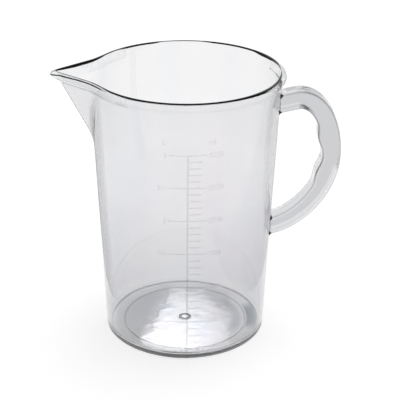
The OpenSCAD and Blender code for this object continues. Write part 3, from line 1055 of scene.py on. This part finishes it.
def cured_cement(colours):
    """Cured cement: painted shade, dark where its curved face bends the light away, glossy, with a fine
    ripple.
    """
    material, shader, place = new_material("cured_cement")
    ripple = shader.noise(place, *CEMENT_RIPPLE)
    cement = shader.finish({
        "Base Color": shader.blend(ripple, colours.cement, [2 * c for c in colours.cement]),
        "Roughness": 0.12 + 0.1 * ripple,
        "Normal": shader.bump(ripple, 0.3, 0.1 * MM),
        "IOR": 1.5,
        "Specular IOR Level": 0.2,
    })
    shader.surface(shader.mix(shader.attribute("dark_reach"), shader.unbent(colours.unbent), cement))
    return material


def raised_scale(colours):
    """The raised marks: finely matt clear plastic that covers the wall behind it only in part.

    The lines and the numbers share it, so it is made once.
    """
    if "raised_scale" in bpy.data.materials:
        return bpy.data.materials["raised_scale"]
    material, shader, place = new_material("raised_scale")
    grain = shader.noise(place, *SCALE_GRAIN)
    shader.surface(shader.finish({
        "Base Color": shader.blend(grain, colours.relief, [0.9 * c for c in colours.relief]),
        "Roughness": 0.4 + 0.2 * grain,
        "Alpha": colours.relief_alpha + 0.05 * grain,
        "Normal": shader.bump(grain, 0.4, 0.05 * MM),
        "IOR": 1.5,
    }))
    return material


def background_rays(shader):
    """1 for the camera's own rays, and 1 for those and the ones that gloss and glass send on."""
    rays = shader.node("ShaderNodeLightPath")
    kinds = ("Is Camera Ray", "Is Glossy Ray", "Is Transmission Ray")
    camera, glossy, glass = (Wire(shader, rays.outputs[key]) for key in kinds)
    return camera, camera.max(glossy).max(glass)


def vessel_form():
    """The vessel's form at the scene's sizes."""
    scene = bpy.context.scene
    return VesselForm(scene.jug_vessel, scene.jug_spout)


class JUG_OT_vessel(bpy.types.Operator):
    """Makes the body moulding: wall, floor, foot ring, rim bead and spout"""

    bl_idname = "jug.vessel"
    bl_label = "Vessel"

    def execute(self, context):
        colours, form = context.scene.jug_colours, vessel_form()
        plastic = clear_plastic("clear_plastic", colours, colours.clear, context.scene.jug_vessel)
        shape = form.surface(), form.tones()
        piece = add_surface("jug_vessel", *shape, plastic, "clear_plastic", ["vessel"])
        lit = bpy.data.collections.get(WINDOW_LIT)
        if lit:
            lit.objects.link(piece)
        return {"FINISHED"}


class JUG_OT_handle(bpy.types.Operator):
    """Makes the solid bar handle with its finger hollows"""

    bl_idname = "jug.handle"
    bl_label = "Handle"

    def execute(self, context):
        colours, form = context.scene.jug_colours, BarForm(context.scene.jug_handle, vessel_form())
        plastic = clear_plastic("bar_plastic", colours, colours.bar)
        shape = form.surface(), form.tones()
        add_surface("jug_handle", *shape, plastic, "clear_plastic", ["handle"])
        return {"FINISHED"}


class JUG_OT_cement(bpy.types.Operator):
    """Makes the cement's fillets round the handle's two roots"""

    bl_idname = "jug.cement"
    bl_label = "Cement"

    def execute(self, context):
        cement = cured_cement(context.scene.jug_colours)
        bar = BarForm(context.scene.jug_handle, vessel_form())
        for name, upper in [("upper_bond_seam", True), ("lower_bond_seam", False)]:
            shape = bar.cement(upper), bar.cement_tones(upper)
            add_surface("jug_" + name, *shape, cement, "cement", [name], poles=False)
        return {"FINISHED"}


class JUG_OT_scale_lines(bpy.types.Operator):
    """Gives the raised spine and litre lines their finish"""

    bl_idname = "jug.scale_lines"
    bl_label = "Scale lines"

    def execute(self, context):
        relief = raised_scale(context.scene.jug_colours)
        for name in ("scale_spine", "litre_lines", "tenth_lines"):
            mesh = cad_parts[name].data
            mesh.materials.clear()
            mesh.materials.append(relief)
        return {"FINISHED"}


def points_of(mesh):
    """A mesh's points as the rows of an array."""
    points = np.empty(3 * len(mesh.vertices))
    mesh.vertices.foreach_get("co", points)
    return points.reshape(-1, 3)


# Height of a figure as a share of the letters' own size
FIGURE_SHARE = 0.73


def flat_word(text, height):
    """Points and faces of a word in flat coordinates, scaled so that a figure has the given height."""
    curve = bpy.data.curves.new("glyphs", "FONT")
    curve.body = text
    curve.resolution_u = 4
    curve.extrude = 0.5
    holder = bpy.data.objects.new("glyphs", curve)
    bpy.context.scene.collection.objects.link(holder)
    bpy.context.view_layer.update()
    mesh = bpy.data.meshes.new_from_object(holder.evaluated_get(bpy.context.evaluated_depsgraph_get()))
    points, faces = points_of(mesh), [list(p.vertices) for p in mesh.polygons]
    bpy.data.objects.remove(holder)
    bpy.data.meshes.remove(mesh)
    return points * [height / FIGURE_SHARE, height / FIGURE_SHARE, 1], faces


class JUG_OT_scale_numbers(bpy.types.Operator):
    """Raises plain numbers and units beside the long lines"""

    bl_idname = "jug.scale_numbers"
    bl_label = "Scale numbers"

    LITRES = ("½", "1", "1½", "2", "2½", "3")
    MILLILITRES = ("500", "1000", "1500", "2000", "2500", "3000")
    # More than a line's own height, and less than the way from one line to the next
    LINE_STEP = 2 * MM

    def line_heights(self):
        """Middle heights of the six long lines, read from the lines' own solids."""
        levels = np.unique(points_of(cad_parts["litre_lines"].data)[:, 2].round(5))
        steps = np.diff(levels) > self.LINE_STEP
        return (levels[np.append(True, steps)] + levels[np.append(steps, True)]) / 2

    def execute(self, context):
        sizes, form = context.scene.jug_scale, vessel_form()
        heights = self.line_heights()
        if len(heights) != len(self.LITRES):
            raise RuntimeError("the litre lines don't match the numbers")
        heading = heights[-1] + sizes.heading_rise
        words = [(text, z, "right") for text, z in zip(self.LITRES, heights)]
        words += [(text, z, "left") for text, z in zip(self.MILLILITRES, heights)]
        words += [("L", heading, "right"), ("ml", heading, "left")]
        all_points, all_faces, count = [], [], 0
        for text, z, align in words:
            points, faces = flat_word(text, sizes.digit_h)
            if align == "right":
                start = -sizes.line_reach - sizes.left_gap - points[:, 0].max()
            else:
                start = sizes.line_reach + sizes.right_gap - points[:, 0].min()
            arc_x, up = points[:, 0] + start, points[:, 1] + z - sizes.digit_h / 2
            wall = form.wall_r(up)
            turn = arc_x / wall - np.pi / 2
            r = wall + np.where(points[:, 2] > 0, sizes.relief, sizes.seat_gap)
            all_points.append(np.column_stack([r * np.cos(turn), r * np.sin(turn), up]))
            all_faces += [[count + i for i in face] for face in faces]
            count += len(points)
        mesh = bpy.data.meshes.new("scale_numbers")
        mesh.from_pydata(from_axis(np.concatenate(all_points)), [], all_faces)
        mesh.update()
        add_piece("scale_numbers", mesh, raised_scale(context.scene.jug_colours), "scale_relief")
        return {"FINISHED"}


def flat_face(name, corners, material):
    """A flat face through its corners, put into the scene."""
    mesh = bpy.data.meshes.new(name)
    mesh.from_pydata(corners, [], [tuple(range(len(corners)))])
    mesh.materials.append(material)
    face = bpy.data.objects.new(name, mesh)
    bpy.context.scene.collection.objects.link(face)
    return face


def level_corners(low, high, z):
    """Corners of a level rectangle between two points, with its face up."""
    return [(low[0], low[1], z), (high[0], low[1], z), (high[0], high[1], z), (low[0], high[1], z)]


class JUG_OT_stage(bpy.types.Operator):
    """Sets up the camera, the white floor, the room and the soft lamps"""

    bl_idname = "jug.stage"
    bl_label = "Stage"

    FLOOR_HALF = 12.0
    FLOOR_Z = -0.2 * MM
    # A card's place on the handle's side, the run of its slanting edge, and that edge's fade
    CARD_X = (0.125, 0.62)
    CARD_Y = (-0.3, 0.7)
    CARD_SLOPE = 0.75
    CARD_FADE = 0.06
    # The window: its distance behind the jug, its outline across and up, and its brightness
    WINDOW_Y = 2.4
    WINDOW = (
        (-0.003, 1.307), (0.113, 1.308), (0.17, 1.358), (0.24, 1.411), (0.25, 1.49), (0.17, 1.55),
        (0.049, 1.57), (-0.115, 1.55), (-0.145, 1.48), (-0.08, 1.447), (-0.052, 1.384), (-0.018, 1.356),
    )
    WINDOW_GLOW = 9.0
    # The share of it in the middle, at a place across and up, what it gains per metre up, what it loses
    # per metre across, and from where it loses as much again
    WINDOW_SHARE = 0.6
    WINDOW_MIDDLE = (0.05, 1.4)
    WINDOW_GAIN = 2.7
    WINDOW_LOSS = 1.2
    WINDOW_LOSS_FROM = 0.14

    def camera(self, settings):
        """A camera at the photograph's place, turned by heading, pitch and roll."""
        h, p, r = settings.heading, settings.pitch, settings.roll
        look = np.array([np.sin(h) * np.cos(p), np.cos(h) * np.cos(p), -np.sin(p)])
        level = np.array([np.cos(h), -np.sin(h), 0])
        over = np.cross(level, look)
        right = np.cos(r) * level + np.sin(r) * over
        up = -np.sin(r) * level + np.cos(r) * over
        data = bpy.data.cameras.new("photo_camera")
        data.sensor_width = 36
        data.lens = settings.lens
        data.clip_end = 100
        holder = bpy.data.objects.new("photo_camera", data)
        at = Vector(settings.camera_at) + Vector((AXIS_X, 0, 0))
        turn = Matrix(np.column_stack([right, up, -look]).tolist()).to_4x4()
        holder.matrix_world = Matrix.Translation(at) @ turn
        bpy.context.scene.collection.objects.link(holder)
        bpy.context.scene.camera = holder

    def floor(self, settings):
        """A wide flat floor: matt and lit, with enough glow towards the eye to read white."""
        material, shader, _ = new_material("white_floor")
        _, seen = background_rays(shader)
        matt = shader.wire("ShaderNodeBsdfDiffuse", "BSDF", {}, {"Color": (*settings.floor, 1)})
        glow = shader.glow((1, 1, 1, 1), seen * settings.floor_glow)
        shader.surface(shader.wire("ShaderNodeAddShader", "Shader", {}, {0: matt, 1: glow}))
        half = self.FLOOR_HALF
        floor = flat_face("floor", level_corners((-half, -half), (half, half), self.FLOOR_Z), material)

    def card(self, name, side, reach, opacity):
        """A dark card flat beside the jug that only gloss sees, so that the jug's edge reads darker."""
        material, shader, place = new_material(name)
        across, ahead = shader.axis(place, "X"), shader.axis(place, "Y")
        cover = ((ahead - side * self.CARD_SLOPE * across + reach) / self.CARD_FADE).clamp() * opacity
        shader.surface(shader.mix(cover, shader.unbent(), shader.glow((0, 0, 0, 1), 0.0)))
        (x0, x1), (y0, y1) = sorted(side * x for x in self.CARD_X), self.CARD_Y
        card = flat_face(name, level_corners((x0, y0), (x1, y1), 0), material)
        card.visible_camera = card.visible_diffuse = False
        card.visible_transmission = card.visible_shadow = False

    def window(self):
        """A bright many-sided window behind the jug, which shines back from the jug's floor."""
        material, shader, place = new_material("window")
        across, up = shader.axis(place, "X"), shader.axis(place, "Z")
        middle, height = self.WINDOW_MIDDLE
        share = self.WINDOW_SHARE + self.WINDOW_GAIN * (up - height)
        share = share - self.WINDOW_LOSS * (across - middle)
        share = share - self.WINDOW_LOSS * (across - self.WINDOW_LOSS_FROM).max(0)
        tone = shader.blend(share.clamp(), (0, 0, 0), (1, 1, 1))
        shader.surface(shader.glow(tone, self.WINDOW_GLOW))
        window = flat_face("window", [(x, self.WINDOW_Y, z) for x, z in self.WINDOW], material)
        window.visible_camera = window.visible_diffuse = window.visible_shadow = False
        window.light_linking.receiver_collection = bpy.data.collections.new(WINDOW_LIT)

    def room(self, settings):
        """A room that is white low down, and greyer overhead except to the camera."""
        world = bpy.data.worlds.new("white_room")
        world.use_nodes = True
        bpy.context.scene.world = world
        shader = Shader(world.node_tree)
        camera, seen = background_rays(shader)
        up = shader.axis(shader.wire("ShaderNodeTexCoord", "Generated"), "Z")
        dark = up.above(settings.horizon_sine, settings.horizon_fade) * (1 - camera)
        shown = 1 - (1 - settings.ceiling) * dark
        strength = settings.room + (shown - settings.room) * seen
        values = {"Color": (1, 1, 1, 1), "Strength": strength}
        sky = shader.wire("ShaderNodeBackground", "Background", {}, values)
        shader.surface(sky, "ShaderNodeOutputWorld")

    def lamp(self, name, at, size, glow, in_gloss):
        """A soft lamp of a width and height that faces the jug, with the brightness of its face."""
        data = bpy.data.lights.new(name, "AREA")
        data.shape = "RECTANGLE"
        data.size, data.size_y = size
        data.energy = glow * np.pi * size[0] * size[1]
        holder = bpy.data.objects.new(name, data)
        holder.visible_glossy = holder.visible_transmission = in_gloss
        target, place = (CAD_BOX[0] + CAD_BOX[1]) / 2, Vector(at)
        aim = (target - place).to_track_quat("-Z", "Y").to_matrix().to_4x4()
        holder.matrix_world = Matrix.Translation(place) @ aim
        bpy.context.scene.collection.objects.link(holder)

    def execute(self, context):
        settings = context.scene.jug_stage
        self.camera(settings)
        self.floor(settings)
        self.card("left_card", side=-1, reach=0.12, opacity=0.55)
        self.card("right_card", side=1, reach=0.36, opacity=0.35)
        self.room(settings)
        self.lamp("top_softbox", at=(0.3, 0.4, 2.2), size=(1.2, 1.2), glow=2.2, in_gloss=False)
        self.window()
        self.lamp("side_softbox", at=(0.83, 2.4, 1.42), size=(1.2, 0.42), glow=1.5, in_gloss=True)
        context.scene.view_settings.view_transform = "Standard"
        return {"FINISHED"}


class JUG_PT_build(bpy.types.Panel):
    """Lists the jug's pieces"""

    bl_idname = "JUG_PT_build"
    bl_label = "Measuring jug"
    bl_space_type = "VIEW_3D"
    bl_region_type = "UI"
    bl_category = "Jug"

    def draw(self, context):
        for operator in OPERATORS:
            self.layout.operator(operator.bl_idname)
        for group in GROUPS:
            box = self.layout.box()
            settings = getattr(context.scene, group)
            for key in settings.__annotations__:
                box.prop(settings, key)


OPERATORS = (
    JUG_OT_stage,
    JUG_OT_vessel,
    JUG_OT_handle,
    JUG_OT_cement,
    JUG_OT_scale_lines,
    JUG_OT_scale_numbers,
)
GROUPS = {
    "jug_vessel": VesselSizes,
    "jug_spout": SpoutSizes,
    "jug_handle": HandleSizes,
    "jug_scale": ScaleSizes,
    "jug_colours": JugColours,
    "jug_stage": StageSettings,
}


def register():
    for group in GROUPS.values():
        bpy.utils.register_class(group)
    for operator in (*OPERATORS, JUG_PT_build):
        bpy.utils.register_class(operator)
    for name, group in GROUPS.items():
        setattr(bpy.types.Scene, name, bpy.props.PointerProperty(type=group))


def unregister():
    for name in GROUPS:
        delattr(bpy.types.Scene, name)
    for operator in (JUG_PT_build, *reversed(OPERATORS)):
        bpy.utils.unregister_class(operator)
    for group in reversed(GROUPS.values()):
        bpy.utils.unregister_class(group)


def main():
    """Builds everything in order.

    The stage comes first, because the vessel joins the window's collection, which the stage makes.
    """
    register()
    bpy.ops.jug.stage()
    bpy.ops.jug.vessel()
    bpy.ops.jug.handle()
    bpy.ops.jug.cement()
    bpy.ops.jug.scale_lines()
    bpy.ops.jug.scale_numbers()


if __name__ == "__main__":
    main()
